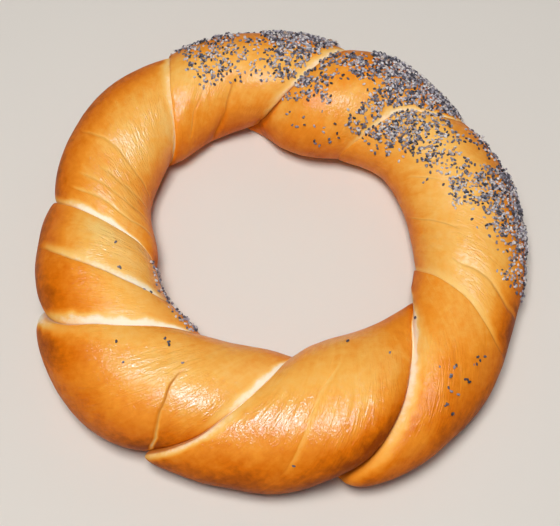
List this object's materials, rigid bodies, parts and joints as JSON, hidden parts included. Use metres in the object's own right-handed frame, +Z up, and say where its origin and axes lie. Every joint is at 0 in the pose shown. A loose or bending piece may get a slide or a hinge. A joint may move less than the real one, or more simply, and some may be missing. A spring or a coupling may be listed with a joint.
{
  "type": "obwarzanek twisted bread ring",
  "caption": "Ring-shaped bread of twisted dough ropes with a glossy golden crust and poppy seeds, flat underneath.",
  "frame": {"origin": "on the ground, under the middle of the bread's box", "axes": "+Z up out of the ground; +X and +Y lie in the plane of the ring, with the thickest stretch of the rope at -Y and the thinnest at +Y"},
  "size_m": [0.144, 0.1452, 0.0322],
  "materials": {
    "glossy_baked_crust": "glossy golden-brown crust, paler in the seams"
  },
  "bodies": {
    "root": {"twisted_bread_ring": "glossy_baked_crust"}
  },
  "joints": []
}
